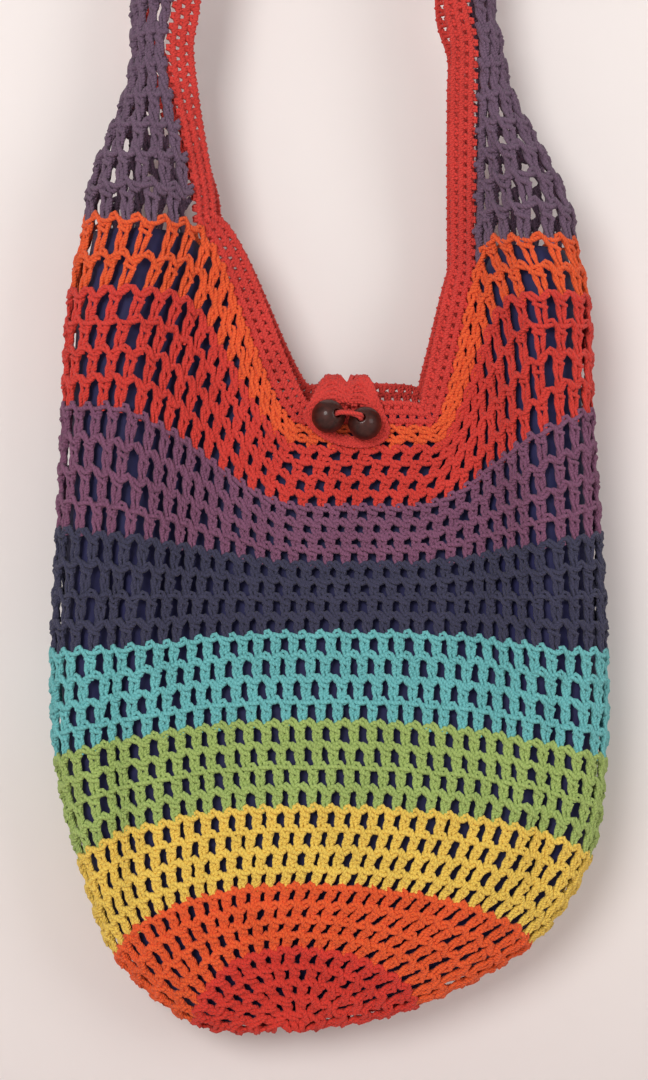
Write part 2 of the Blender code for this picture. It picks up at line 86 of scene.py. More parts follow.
DIP_TO_ROUND = 25
LOW_MIDDLE = -0.10
DIP_MIDDLE = 0.10
DIP_FLAT = 0.16
DIP_REACH = 1.10
LEFT_NECK_FLAT = 0.22
LEFT_NECK_REACH = 0.69
RIGHT_NECK_FLAT = 0.33
RIGHT_NECK_REACH = 0.58
LEFT_NECK_ANGLE = 35.0
RIGHT_NECK_ANGLE = 38.0

# Strap stations: height as a share of the way from the bag to the arch, middle across as a share
# of the arch's radius and in depth as a share of the core, turn in degrees, share of a full fold
CORE_WIDTH = 0.046
EDGING = 0.019
SHOULDER_STEPS = 6
ARCH_STEPS = 5
LEFT_STATIONS = (
    (0.436, -1.161, -0.130, 25, 0.80),
    (0.522, -1.143, -0.174, 38, 0.72),
    (0.644, -1.107, -0.130, 30, 0.75),
    (0.817, -1.036, 0.000, 15, 0.80),
)
RIGHT_STATIONS = (
    (0.436, 1.116, 0.000, 0, 0.95),
    (0.522, 1.062, 0.000, -5, 0.97),
    (0.644, 1.036, 0.000, 0, 0.95),
    (0.817, 1.009, 0.000, 0, 0.88),
)
ARCH_FOLD = 0.85

# Closure: beads and their bores, and the loop's hole, outline, root, tilt and drape
BEAD_DIAMETER = 0.0238
BEAD_BORE = 0.0060
BEAD_LIP = 0.0007
BEAD_ARC = 31
BEAD_STEPS = 56
LEFT_BORE_AIM = (0.588, -0.795, 0.147)
RIGHT_BORE_AIM = (-0.253, -0.914, 0.318)
BEAD_CLEARANCE = 0.0003
LOOP_HOLE = (0.0230, 0.0108)
LOOP_OUTSIDE = (0.0295, 0.0170)
LOOP_ROOT = 0.0185
LOOP_TILT = 11.0
LOOP_RISE = 1.3
LOOP_EASE = 0.0016
LOOP_SAMPLES = 96
LOOP_STEPS = 8
LOOP_HOLE_SQUARE = 0.7
LOOP_TAB_SQUARE = 0.45
LOOP_FLARE = 1.4
DRAPE_REACH = 0.004
DRAPE_STEPS = (0.003, 0.006, 0.009)

# Soft folds in the front: place across at the low and high end, both heights, reach and depth
SOFT_FOLDS = (
    (-0.141, -0.150, -0.915, -0.570, 0.0110, 0.0095),
    (0.142, 0.174, -0.915, -0.680, 0.0110, 0.0085),
    (0.118, 0.108, -0.760, -0.560, 0.0110, 0.0040),
)
FOLD_FADE = 0.3

# Yarn: its radius, sides of its tube and the stitches in the top round and by rounds from the base
YARN = 0.00138
YARN_SIDES = 5
FULL_ROUND = 70
ROUND_GROWTH = 7.2
ROUND_SHIFT = 0.18
BASE_THICK = 0.22
BASE_ROUNDS = 12.0

# How far stitches stray, as shares of a stitch, of a round and of their thickness
STITCH_DRIFT = 0.09
STITCH_LIFT = 0.06
STITCH_PLUMP = 0.18

# The two posts of a stitch: heights and widths as shares of a round and of a stitch
POST_POINTS = 6
POST_SINK = 0.15
POST_RISE = 1.08
POST_OUT = 0.0021
POST_TURNS = 1.05
POST_CURVE = 1.6
FOOT_SPREAD = 0.105
TOP_SPREAD = 0.205
STRAND_TWIST = 0.00092
SWELL_END = 0.8
SWELL_MORE = 0.3

# The yarn over that slants across them
OVER_REACH = 0.27
OVER_HEIGHT = 0.66
OVER_SLANT = 0.09
OVER_OUT = 0.0042
OVER_SAG = 0.0011
OVER_THICK = 1.15

# The chain above them
CHAIN_POINTS = 6
CHAIN_HEIGHT = 0.93
CHAIN_OUT = 0.0032
CHAIN_SWING = 0.0009
CHAIN_TWIST = 0.00200
CHAIN_THICK = 1.25
CHAIN_PHASE = 0.6
CHAIN_WAVER = 0.03
WAVER_RATES = (1.7, 2.1)
ARCH_RISE = 0.12

# Stitches in the rows of a shoulder above its first, and in the rows of the strap
SHOULDER_COLUMNS = (12, 10, 9, 8, 7, 6, 5)
STRAP_COLUMNS = 4
STRAP_ROW = 0.0235
STRAP_YARN = 1.22

# Edgings, and the tight stitches that they share with the loop: slanting legs under a rope
EDGING_ROWS = 3
EDGING_STITCH = 0.0078
EDGING_YARN = 0.00152
EDGING_OUT = 0.0021
TIGHT_FOOT = 0.10
TIGHT_SPREAD = 0.16
TIGHT_SLANT = 0.10
TIGHT_START = 0.02
TIGHT_RISE = 0.80
TIGHT_CHAIN = 0.82
TIGHT_STEP = 0.0004
ROPE_POINTS = 3
ROPE_UP = 0.95
ROPE_OUT = 0.62

# Doubled yarn through the beads: shares of a bead's radius and of the way across
LINK_YARN = 0.00150
LINK_TWIST = 0.00100
LINK_HALF_TURNS = 2.2
LINK_POINTS = 60
LINK_END = 1.18
LINK_INSIDE = 0.8
LINK_LEAD = 0.0016
LINK_BEND = 0.24

# Yarn of the loop, and the short rows that fill its tab
LOOP_ROWS = 3
LOOP_STITCHES = 24
LOOP_GROWTH = 6
LOOP_YARN = 0.00152
LOOP_OUT = 0.0014
LOOP_FILL = 7
LOOP_FILL_REACH = 0.17
LOOP_FILL_POINTS = 46
LOOP_FILL_TURNS = 8.0
LOOP_FILL_DRIFT = 0.002
LOOP_FILL_OUT = 0.0013
LOOP_FILL_SWING = 0.0010
LOOP_FILL_TWIST = 0.0009
LOOP_NOTCH = 0.45
LOOP_NOTCH_WIDTH = 0.006

# Lining: its wall and columns, its creases, its gap to the solid's place and its hem below the rim
LINING_WALL = 0.0007
LINING_COLUMNS = 160
WIDE_CREASE = 0.0009
FINE_CREASE = 0.0006
CREASE_LIFT = 0.0002
LINING_GAP = 0.0004
LINING_HEM = 0.25

# How finely the surfaces are sampled, and the height below which an edging is at the neck
WALL_ROWS = 281
WALL_COLUMNS = 1440
ROUND_SAMPLES = 2161
SIDE_SAMPLES = 400
CORE_SAMPLES = 41
CORE_ROWS = 161
NECK_SAMPLES = 90
EDGE_SAMPLES = 480
EDGE_STEPS = 8
EDGE_SMOOTHING = 60
NECK_TOP = -0.40

# Looks: plies and their pitch, how dark the grooves are painted as shade and how light the flecks are, and
# the tints
PLIES = 3
PLY_PITCH = 0.0021
GROOVE_PAINTED_SHADE = 0.66
FLECK = 0.10
LINING_TINTS = ((0.010, 0.010, 0.060, 1.0), (0.024, 0.026, 0.170, 1.0))
WOOD_TINTS = ((0.32, (0.018, 0.0040, 0.0030, 1.0)), (0.72, (0.072, 0.0165, 0.0115, 1.0)))
PLASTER_TINTS = ((0.840, 0.792, 0.773, 1.0), (0.877, 0.829, 0.810, 1.0))
# The plaster's painted shade: the tint that the wall darkens to towards its bottom, and that the floor
# takes all over
PLASTER_PAINTED_SHADE = (0.738, 0.679, 0.663, 1.0)

# Camera: the photograph's scale at the front of the bag, and its middle
PHOTO_HEIGHT = 0.756
PHOTO_CENTRE = (0.0014, -0.627)
CAMERA_DISTANCE = 1.45
FRONT_PLANE = -0.035
WALL_PLANE = 0.052
# Heights between which the wall's painted shade fades out: all painted shade below the first, none above
# the second
WALL_PAINTED_SHADE_FULL = -1.10
WALL_PAINTED_SHADE_GONE = -0.72
FLOOR = -1.12
STAGE_HALF = 6.0
STAGE_HIGH = 5.0

# Lamps: name, place, size, power and colour, all aimed at the middle of the bag
LAMP_AIM = (0.0, 0.0, -0.60)
LAMPS = (
    ("key", (-1.5, -3.9, 0.75), 1.9, 101.0, (1.0, 0.985, 0.97)),
    ("fill", (2.6, -2.8, 0.2), 2.0, 34.0, (1.0, 0.985, 0.98)),
    ("back_fill", (0.4, 2.2, 0.4), 2.0, 14.0, (1.0, 0.98, 0.97)),
)
ROOM_COLOUR = (1.0, 0.975, 0.96, 1.0)
ROOM_LIGHT = 0.355

rng = np.random.default_rng(7)


def ease(x):
    """Smooth step from 0 to 1."""
    x = np.clip(x, 0.0, 1.0)
    return x * x * (3.0 - 2.0 * x)


def through(x, knots, values):
    """A smooth curve through (knots, values); values may be points."""
    knots = np.asarray(knots, float)
    values = np.asarray(values, float)
    gaps = np.diff(knots).reshape((-1,) + (1,) * (values.ndim - 1))
    spans = np.diff(values, axis=0) / gaps
    slopes = np.concatenate([spans[:1], (spans[1:] + spans[:-1]) / 2.0, spans[-1:]])
    k = np.clip(np.searchsorted(knots, x) - 1, 0, len(knots) - 2)
    step = knots[k + 1] - knots[k]
    s = (x - knots[k]) / step
    extra = (1,) * (values.ndim - 1)
    s = s.reshape(s.shape + extra)
    step = step.reshape(step.shape + extra)
    a = (2 * s**3 - 3 * s**2 + 1) * values[k] + (3 * s**2 - 2 * s**3) * values[k + 1]
    b = (s**3 - 2 * s**2 + s) * slopes[k] + (s**3 - s**2) * slopes[k + 1]
    return a + b * step


ROUNDS = np.concatenate([[0], np.cumsum([band[1] for band in BANDS])]).astype(float)
TOP_ROUND = ROUNDS[-1]


def level(v, column, start, scale):
    """A column of the band table as a smooth curve over the rounds, in metres."""
    return through(v, ROUNDS, [start] + [band[column] * scale for band in BANDS])


def bow(t, v, drawn):
    """Share of the way from the side height to the middle height, across a round."""
    share = ease((v - DIP_FROM_ROUND) / (DIP_TO_ROUND - DIP_FROM_ROUND))
    middle = LOW_MIDDLE + (DIP_MIDDLE - LOW_MIDDLE) * share
    off = np.abs(t - middle)
    low = np.sqrt(np.clip(1.0 - (off / (1.0 + np.where(t > middle, -middle, middle))) ** 2, 0.0, 1.0))
    flat = DIP_FLAT + (np.where(t > middle, RIGHT_NECK_FLAT, LEFT_NECK_FLAT) - DIP_FLAT) * drawn
    reach = DIP_REACH + (np.where(t > middle, RIGHT_NECK_REACH, LEFT_NECK_REACH) - DIP_REACH) * drawn
    dip = 1.0 - ease((off - flat) / (reach - flat))
    return low * (1.0 - share) + dip * share


def wall(phi, v):
    """Inside face of the crochet at angle phi (0 = front, + = right), v rounds up from the base."""
    phi, v = np.broadcast_arrays(np.asarray(phi, float), np.asarray(v, float))
    t = np.sin(phi)
    front = np.cos(phi) > 0
    near = np.abs(np.cos(phi))
    half = level(v, 2, BASE_EYE, BAG_WIDTH / 2.0)
    x = level(v, 3, BASE_MIDDLE, BAG_WIDTH / 2.0) + half * t
    grown = np.sin(np.clip(v / DEPTH_ROUNDS, 0.0, 1.0) * math.pi / 2.0)
    grown = np.maximum(grown, BASE_EYE / FRONT_DEPTH)
    closed = ease((v - FOLD_FROM_ROUND) / (FOLD_TO_ROUND - FOLD_FROM_ROUND))
    middle_share = 1.0 - (1.0 - CLOSED_DEPTH / FRONT_DEPTH) * closed
    left = ease((-t - LEFT_FOLD[0]) / (LEFT_FOLD[1] - LEFT_FOLD[0]))
    right = ease((t - RIGHT_FOLD[0]) / (RIGHT_FOLD[1] - RIGHT_FOLD[0]))
    lobe = middle_share + (1.0 - middle_share) * (left + right)
    y_front = -FRONT_DEPTH * grown * lobe * near**FRONT_FLATNESS
    drawn = ease((v - DIP_TO_ROUND) / (TOP_ROUND - DIP_TO_ROUND))
    pull = (1.0 - CLOSED_BACK / BACK_DEPTH) * drawn * (1.0 - ease(np.abs(t - DIP_MIDDLE / 2) / PULL_REACH))
    y_back = BACK_DEPTH * grown * (1.0 - pull) * near**BACK_FLATNESS
    left_side, right_side = level(v, 4, 0.0, BAG_HEIGHT), level(v, 5, 0.0, BAG_HEIGHT)
    side = left_side * (1.0 - t) / 2.0 + right_side * (1.0 + t) / 2.0
    middle = level(v, 6, 0.0, BAG_HEIGHT) + np.where(front, 0.0, BACK_RISE * drawn)
    z = side + (middle - side) * bow(t, v, drawn)
    return np.stack([x, np.where(front, y_front, y_back), z - HANG_HEIGHT], axis=-1)


def unit(vectors):
    """Vectors brought to length 1."""
    length = np.linalg.norm(vectors, axis=-1, keepdims=True)
    return vectors / np.maximum(length, 1e-12)


def way_along(points):
    """How far along a row of points each of them lies."""
    return np.concatenate([[0.0], np.cumsum(np.linalg.norm(np.diff(points, axis=0), axis=1))])


class Cloth:
    """A sampled surface that stitches are laid on: f runs 0 to 1 across it and r counts its rows."""

    def __init__(self, points, rows, closed, normals=None):
        self.points = points
        self.rows = rows
        self.closed = closed
        if closed:
            along = np.roll(points, -1, axis=1) - np.roll(points, 1, axis=1)
        else:
            along = np.gradient(points, axis=1)
        up = np.gradient(points, axis=0)
        self.normals = unit(np.cross(along, up)) if normals is None else normals
        self.across = unit(along)
        self.up = unit(np.cross(self.normals, self.across))

    def sample(self, grid, f, r):
        """Values of a grid between its points."""
        height, width = grid.shape[:2]
        y = r / self.rows * (height - 1)
        j = np.clip(np.floor(y).astype(int), 0, height - 2)
        b = (y - j)[..., None]
        if self.closed:
            x = (f % 1.0) * width
            i = np.floor(x).astype(int) % width
            i2 = (i + 1) % width
            a = (x - np.floor(x))[..., None]
        else:
            x = np.clip(f, 0.0, 1.0) * (width - 1)
            i = np.clip(np.floor(x).astype(int), 0, width - 2)
            i2 = i + 1
            a = (x - i)[..., None]
        low = grid[j, i] * (1 - a) + grid[j, i2] * a
        high = grid[j + 1, i] * (1 - a) + grid[j + 1, i2] * a
        return low * (1 - b) + high * b

    def place(self, f, r, across=0.0, up=0.0, out=0.0):
        """Points at f and r moved across, up and out by lengths, and the normals there."""
        f, r, across, up, out = np.broadcast_arrays(f, r, across, up, out)
        normal = unit(self.sample(self.normals, f, r))
        point = self.sample(self.points, f, r)
        point = point + unit(self.sample(self.across, f, r)) * across[..., None]
        point = point + unit(self.sample(self.up, f, r)) * up[..., None]
        return point + normal * out[..., None], normal


class Strands:
    """Collects strands of yarn, each a row of points with normals, and sweeps them into one mesh."""

    def __init__(self):
        self.groups = []

    def add(self, points, normals, radius, closed=False):
        """Adds one strand or several alike; closed ones are rings."""
        if points.ndim == 2:
            points, normals = points[None], normals[None]
        self.groups.append((points, normals, closed, radius))

    def mesh(self, name, look):
        """One object with a tube along each strand; its UVs hold turns round the yarn and metres."""
        verts, faces, uvs, base = [], [], [], 0
        sides = YARN_SIDES
        turn = np.arange(sides) * 2.0 * math.pi / sides
        for points, normals, closed, radius in self.groups:
            count, steps = points.shape[:2]
            if closed:
                tangent = unit(np.roll(points, -1, axis=1) - np.roll(points, 1, axis=1))
            else:
                tangent = unit(np.gradient(points, axis=1))
            side = unit(np.cross(tangent, normals))
            out = np.cross(side, tangent)
            ring = side[:, :, None] * np.cos(turn)[:, None] + out[:, :, None] * np.sin(turn)[:, None]
            verts.append((points[:, :, None] + ring * radius).reshape(-1, 3))
            gone = np.linalg.norm(np.diff(points, axis=1), axis=2)
            length = np.concatenate([np.zeros((count, 1)), np.cumsum(gone, axis=1)], axis=1)
            length = length + rng.uniform(0.0, 0.01, (count, 1))
            spans = steps if closed else steps - 1
            m, k, s = np.meshgrid(np.arange(count), np.arange(spans), np.arange(sides), indexing="ij")
            k2, s2 = (k + 1) % steps, (s + 1) % sides
            start = base + m * steps * sides
            corners = ((k, s), (k, s2), (k2, s2), (k2, s))
            quads = [start + kk * sides + ss for kk, ss in corners]
            faces.append(np.stack(quads, axis=-1).reshape(-1, 4))
            after = np.where(k + 1 < steps, length[m, k2], length[m, k] + gone[m, k - 1])
            u, u2 = s / sides, (s + 1) / sides
            rows = ((u, length[m, k]), (u2, length[m, k]), (u2, after), (u, after))
            uvs.append(np.stack([np.stack(row, axis=-1) for row in rows], axis=-2).reshape(-1, 2))
            base += count * steps * sides
        verts, faces, uvs = np.concatenate(verts), np.concatenate(faces), np.concatenate(uvs)
        return grid_object(name, verts, faces, uvs, look)


def grid_object(name, verts, faces, uvs, look):
    """A smooth mesh object from arrays of vertices, four-cornered faces and UVs for each corner."""
    mesh = bpy.data.meshes.new(name)
    mesh.vertices.add(len(verts))
    mesh.vertices.foreach_set("co", np.ascontiguousarray(verts, np.float32).ravel())
    mesh.loops.add(len(faces) * 4)
    mesh.loops.foreach_set("vertex_index", np.ascontiguousarray(faces, np.int32).ravel())
    mesh.polygons.add(len(faces))
    mesh.polygons.foreach_set("loop_start", np.arange(len(faces), dtype=np.int32) * 4)
    mesh.polygons.foreach_set("use_smooth", np.ones(len(faces), bool))
    layer = mesh.uv_layers.new(name="UVMap")
    layer.data.foreach_set("uv", np.ascontiguousarray(uvs, np.float32).ravel())
    mesh.update(calc_edges=True)
    mesh.validate()
    mesh.materials.append(look)
    made = bpy.data.objects.new(name, mesh)
    bpy.context.scene.collection.objects.link(made)
    return made


def stamped(cloth, columns, r0, strands, thick, middles=None, shift=0.0):
    """One round of V-stitches: pairs of twisted posts from one foot, the yarn over that slants across
    each pair, and the arched chain over them."""
    span = 1.0 / columns
    drift = rng.uniform(-STITCH_DRIFT, STITCH_DRIFT, columns)
    if middles is None:
        middles = (np.arange(columns) + 0.5 + shift + drift) * span
    tau = np.linspace(0.0, 1.0, POST_POINTS)
    lift = rng.uniform(-STITCH_LIFT, STITCH_LIFT, columns)[:, None]
    plump = rng.uniform(1.0 - STITCH_PLUMP, 1.0 + STITCH_PLUMP, columns)[:, None]
    for side in (-1.0, 1.0):
        spread = FOOT_SPREAD + (TOP_SPREAD - FOOT_SPREAD) * tau**POST_CURVE
        f = middles[:, None] + side * spread * span
        r = r0 - POST_SINK + POST_RISE * tau + lift
        phase = rng.uniform(-0.5, 0.5, (columns, 1))
        for ply in (0, 1):
            angle = 2.0 * math.pi * POST_TURNS * tau + math.pi * ply + phase
            swell = plump * thick * STRAND_TWIST * (SWELL_END + SWELL_MORE * np.sin(math.pi * tau))
            out = POST_OUT * thick + swell * np.sin(angle)
            strands.add(*cloth.place(f, r, swell * np.cos(angle), 0.0, out), radius=YARN * thick)
    cross = np.linspace(-1.0, 1.0, 3)
    f = middles[:, None] + OVER_REACH * cross * span
    out = (OVER_OUT - OVER_SAG * cross**2) * thick
    points = cloth.place(f, r0 + OVER_HEIGHT + lift - OVER_SLANT * cross, 0.0, 0.0, out)
    strands.add(*points, radius=YARN * OVER_THICK * thick)
    count = columns * CHAIN_POINTS + (0 if cloth.closed else 1)
    c = np.arange(count) / CHAIN_POINTS
    rise = -ARCH_RISE * np.cos(2.0 * math.pi * (c - 0.5 - shift))
    rise = rise + CHAIN_WAVER * np.sin(c * WAVER_RATES[0] + r0 * WAVER_RATES[1])
    for ply in (0, 1):
        angle = 2.0 * math.pi * c + math.pi * ply + CHAIN_PHASE
        up = CHAIN_TWIST * thick * np.cos(angle)
        out = CHAIN_OUT * thick + CHAIN_SWING * np.sin(angle)
        made = cloth.place(c * span, r0 + CHAIN_HEIGHT + rise, 0.0, up, out)
        strands.add(*made, closed=cloth.closed, radius=YARN * CHAIN_THICK * thick)


def new_look(name, values):
    """A material with values on its shader, and the nodes, links and shader to build on."""
    made = bpy.data.materials.new(name)
    made.use_nodes = True
    nodes, links = made.node_tree.nodes, made.node_tree.links
    shader = nodes["Principled BSDF"]
    for key, value in values.items():
        shader.inputs[key].default_value = value
    return made, nodes, links, shader


def add_node(nodes, kind, values=None, **settings):
    """A new shader node with its settings, and then values on its inputs."""
    made = nodes.new("ShaderNode" + kind)
    for key, value in settings.items():
        setattr(made, key, value)
    for key, value in (values or {}).items():
        made.inputs[key].default_value = value
    return made


def add_bump(nodes, links, height, strength, distance):
    """A bump node over a height."""
    made = add_node(nodes, "Bump", {"Strength": strength, "Distance": distance})
    links.new(height, made.inputs["Height"])
    return made


def yarn_look(name, colour):
    """Matt plied cotton: slanting ply grooves along the strand, with painted shade darkening them, and a
    soft fleck of lighter fibre.
    """
    values = {
        "Roughness": 0.85,
        "Specular IOR Level": 0.18,
        "Sheen Weight": 0.08,
        "Sheen Roughness": 0.6,
    }
    made, nodes, links, shader = new_look(name, values)
    place = add_node(nodes, "UVMap", uv_map="UVMap")
    # The band wave runs ten radians to a unit, and the UVs hold turns round the yarn and metres
    turns, length = 2.0 * math.pi * PLIES / 10, 2.0 * math.pi / (10 * PLY_PITCH)
    scale = add_node(nodes, "Mapping", {"Scale": (turns, length, 1.0)})
    links.new(place.outputs["UV"], scale.inputs["Vector"])
    wave = {"Scale": 1.0, "Distortion": 0.0}
    ply = add_node(nodes, "TexWave", wave, wave_type="BANDS", bands_direction="DIAGONAL")
    links.new(scale.outputs["Vector"], ply.inputs["Vector"])
    where = add_node(nodes, "TexCoord")
    fibre = add_node(nodes, "TexNoise", {"Scale": 900.0, "Detail": 3.0})
    links.new(where.outputs["Object"], fibre.inputs["Vector"])
    shade = add_node(nodes, "TexNoise", {"Scale": 55.0, "Detail": 2.0})
    links.new(where.outputs["Object"], shade.inputs["Vector"])
    # Painted shade: the ply grooves are darkened in the yarn's colour as well as bumped
    dark = tuple(c * GROOVE_PAINTED_SHADE for c in colour)
    light = tuple(min(1.0, c * (1.0 + 1.6 * FLECK) + 0.10 * FLECK) for c in colour)
    ramp = add_node(nodes, "Mix", {"A": (*dark, 1.0), "B": (*colour, 1.0)}, data_type="RGBA")
    links.new(ply.outputs["Fac"], ramp.inputs["Factor"])
    worn = add_node(nodes, "Mix", {"B": (*light, 1.0)}, data_type="RGBA")
    links.new(shade.outputs["Fac"], worn.inputs["Factor"])
    links.new(ramp.outputs["Result"], worn.inputs["A"])
    links.new(worn.outputs["Result"], shader.inputs["Base Color"])
    fine = add_bump(nodes, links, fibre.outputs["Fac"], 0.35, 0.0003)
    bump = add_bump(nodes, links, ply.outputs["Fac"], 0.75, 0.0006)
    links.new(fine.outputs["Normal"], bump.inputs["Normal"])
    links.new(bump.outputs["Normal"], shader.inputs["Normal"])
    return made


def cloth_look():
    """Plain woven lining cloth."""
    made, nodes, links, shader = new_look("lining_cloth", {"Roughness": 0.72, "Sheen Weight": 0.2})
    where = add_node(nodes, "TexCoord")
    wave = {"Scale": 420.0, "Distortion": 0.4}
    both = add_node(nodes, "Math", operation="MULTIPLY")
    for k, direction in enumerate("XZ"):
        weave = add_node(nodes, "TexWave", wave, bands_direction=direction)
        links.new(where.outputs["Object"], weave.inputs["Vector"])
        links.new(weave.outputs["Fac"], both.inputs[k])
    dark, light = LINING_TINTS
    tint = add_node(nodes, "Mix", {"A": dark, "B": light}, data_type="RGBA")
    links.new(both.outputs["Value"], tint.inputs["Factor"])
    links.new(tint.outputs["Result"], shader.inputs["Base Color"])
    bump = add_bump(nodes, links, both.outputs["Value"], 0.3, 0.0003)
    links.new(bump.outputs["Normal"], shader.inputs["Normal"])
    return made


def wood_look():
    """Dark stained and polished wood with a fine grain along the bore."""
    values = {
        "Roughness": 0.50,
        "Specular IOR Level": 0.20,
        "Coat Weight": 0.30,
        "Coat Roughness": 0.12,
    }
    made, nodes, links, shader = new_look("bead_wood", values)
    where = add_node(nodes, "TexCoord")
    stretch = add_node(nodes, "Mapping", {"Scale": (260.0, 260.0, 40.0)})
    links.new(where.outputs["Object"], stretch.inputs["Vector"])
    grain = add_node(nodes, "TexNoise", {"Scale": 1.0, "Detail": 6.0, "Roughness": 0.65})
    links.new(stretch.outputs["Vector"], grain.inputs["Vector"])
    ramp = add_node(nodes, "ValToRGB")
    for element, (position, colour) in zip(ramp.color_ramp.elements, WOOD_TINTS):
        element.position = position
        element.color = colour
    links.new(grain.outputs["Fac"], ramp.inputs["Fac"])
    links.new(ramp.outputs["Color"], shader.inputs["Base Color"])
    bump = add_bump(nodes, links, grain.outputs["Fac"], 0.12, 0.0002)
    links.new(bump.outputs["Normal"], shader.inputs["Normal"])
    return made


def wall_look(one_sided):
    """Plain pale plaster with painted shade: it darkens towards the bottom of the wall, and the floor,
    lying lower, takes the painted shade tint all over. The wall behind the bag shows from its front only.
    """
    name = "plaster_wall" if one_sided else "plaster_floor"
    made, nodes, links, shader = new_look(name, {"Roughness": 0.95})
    where = add_node(nodes, "TexCoord")
    noise = add_node(nodes, "TexNoise", {"Scale": 3.0, "Detail": 3.0})
    links.new(where.outputs["Object"], noise.inputs["Vector"])
    first, second = PLASTER_TINTS
    tint = add_node(nodes, "Mix", {"A": first, "B": second}, data_type="RGBA")
    links.new(noise.outputs["Fac"], tint.inputs["Factor"])
    # Painted shade: the plaster is darkened towards the bottom of the wall, from its tints to the painted
    # shade tint
    painted_shade = add_node(nodes, "Mix", {"A": PLASTER_PAINTED_SHADE}, data_type="RGBA")
    height = add_node(nodes, "SeparateXYZ")
    links.new(where.outputs["Object"], height.inputs["Vector"])
    painted_shade_fade = add_node(nodes, "MapRange", {"From Min": WALL_PAINTED_SHADE_FULL, "From Max": WALL_PAINTED_SHADE_GONE})
    links.new(height.outputs["Z"], painted_shade_fade.inputs["Value"])
    links.new(painted_shade_fade.outputs["Result"], painted_shade.inputs["Factor"])
    links.new(tint.outputs["Result"], painted_shade.inputs["B"])
    links.new(painted_shade.outputs["Result"], shader.inputs["Base Color"])
    if one_sided:
        side = add_node(nodes, "NewGeometry")
        clear = add_node(nodes, "BsdfTransparent")
        mix = add_node(nodes, "MixShader")
        links.new(side.outputs["Backfacing"], mix.inputs["Fac"])
        links.new(shader.outputs["BSDF"], mix.inputs[1])
        links.new(clear.outputs["BSDF"], mix.inputs[2])
        links.new(mix.outputs["Shader"], nodes["Material Output"].inputs["Surface"])
    return made


COLOURS = {
    "base_red": (0.642, 0.036, 0.021),
    "band_orange": (0.802, 0.105, 0.021),
    "band_yellow": (0.824, 0.567, 0.096),
    "band_green": (0.353, 0.471, 0.134),
    "band_turquoise": (0.150, 0.482, 0.492),
    "band_navy": (0.041, 0.041, 0.083),
    "band_purple": (0.203, 0.075, 0.144),
    "band_red": (0.642, 0.043, 0.030),
    "band_orange_top": (0.802, 0.105, 0.024),
    "shoulder": (0.144, 0.086, 0.139),
    "edging": (0.663, 0.048, 0.037),
}


def soft_folds(points):
    """How far the hanging cloth sinks inwards at points of its front, in its soft folds."""
    x, z = points[..., 0], points[..., 2]
    deep = np.zeros(x.shape)
    for low_x, high_x, low_z, high_z, reach, depth in SOFT_FOLDS:
        share = (z - low_z) / (high_z - low_z)
        fade = ease(share / FOLD_FADE) * ease((1.0 - share) / FOLD_FADE)
        away = (x - low_x - (high_x - low_x) * share) / reach
        deep += depth * fade * np.exp(-(away**2))
    return np.where(points[..., 1] < 0.0, deep, 0.0)


def bag_cloth():
    """The bag's wall, with its columns evenly spaced round each round and the seam at the back."""
    fine = np.linspace(-math.pi, math.pi, ROUND_SAMPLES)
    grid = np.empty((WALL_ROWS, WALL_COLUMNS, 3))
    for k, v in enumerate(np.linspace(0.0, TOP_ROUND, WALL_ROWS)):
        points = wall(fine, np.full_like(fine, v))
        length = way_along(points)
        want = np.arange(WALL_COLUMNS) / WALL_COLUMNS * length[-1]
        grid[k] = np.stack([np.interp(want, length, points[:, axis]) for axis in range(3)], axis=-1)
    grid[..., 1] += soft_folds(grid)
    return Cloth(grid, TOP_ROUND, True)


def section(centre, outward, across, fold, q):
    """Points of the folded strap at places q across it, from the front (-) to the back (+)."""
    bend = max(fold, 0.02) * math.pi / CORE_WIDTH
    held = np.clip(q, -CORE_WIDTH / 2.0, CORE_WIDTH / 2.0)[:, None]
    angle = bend * held
    along = across * np.cos(angle) - outward * np.sin(angle)
    point = centre + across * np.sin(angle) / bend - outward * (1.0 - np.cos(angle)) / bend
    return point + along * (q[:, None] - held)


def strap_stations(side):
    """Centre, outward and across directions and fold of the strap, from the shoulder to the seam."""
    stations = LEFT_STATIONS if side < 0 else RIGHT_STATIONS
    found = []
    arch = HANG_HEIGHT - STRAP_ARCH_RADIUS
    for share, x, y, turn, fold in stations:
        height = BAG_HEIGHT + (arch - BAG_HEIGHT) * share
        angle = math.radians(turn)
        outward = np.array([side * math.cos(angle), -math.sin(angle), 0.0])
        across = np.array([side * math.sin(angle), math.cos(angle), 0.0])
        centre = np.array([x * STRAP_ARCH_RADIUS, y * CORE_WIDTH, height - HANG_HEIGHT])
        found.append((centre, outward, across, fold))
    for k in range(ARCH_STEPS + 1):
        angle = math.pi / 2.0 * k / ARCH_STEPS
        outward = np.array([side * math.cos(angle), 0.0, math.sin(angle)])
        centre = outward * STRAP_ARCH_RADIUS - np.array([0.0, 0.0, STRAP_ARCH_RADIUS])
        found.append((centre, outward, np.array([0.0, 1.0, 0.0]), ARCH_FOLD))
    return found


def side_angles(side, samples):
    """Angles from the front neck corner round the side to the back one, evenly spaced on the cloth."""
    low = math.radians(RIGHT_NECK_ANGLE if side > 0 else LEFT_NECK_ANGLE)
    fine = np.linspace(low, math.pi - low, SIDE_SAMPLES) * side
    points = wall(fine, np.full_like(fine, TOP_ROUND))
    length = way_along(points)
    return np.interp(np.linspace(0.0, length[-1], samples), length, fine)


